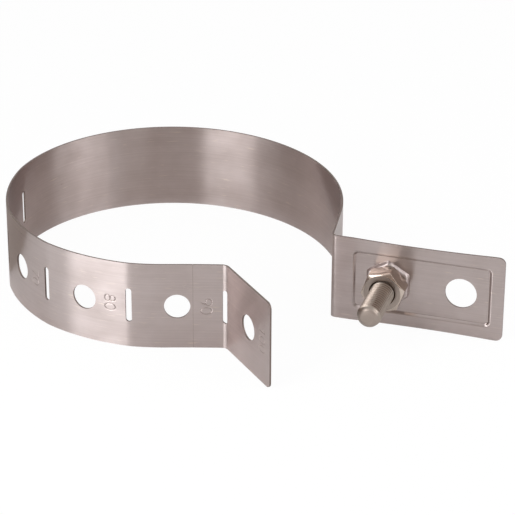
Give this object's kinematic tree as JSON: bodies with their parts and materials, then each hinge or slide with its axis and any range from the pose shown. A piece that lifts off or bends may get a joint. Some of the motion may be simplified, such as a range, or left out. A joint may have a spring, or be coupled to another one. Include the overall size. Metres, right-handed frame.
{
  "type": "downpipe clamp",
  "caption": "Adjustable downpipe clamp: a punched stainless strip bent into an open ring, with a folded flange that holds a hex bolt and nut, and a folded flap that closes onto the bolt.",
  "frame": {"origin": "on the axis of the open ring, level with the strip's lower edge", "axes": "+Z along the pipe; the flange lies along +X and its front face looks along -Y, the way the bolt's thread points"},
  "size_m": [0.1749, 0.1237, 0.03],
  "materials": {
    "strip_steel": "rolled, fine lines along the strip",
    "bolt_steel": "bright, rolled thread",
    "nut_steel": "bright, pressed faces"
  },
  "bodies": {
    "root": {"clamp_strip": "strip_steel", "hex_bolt": "bolt_steel", "hex_nut": "nut_steel"}
  },
  "joints": []
}
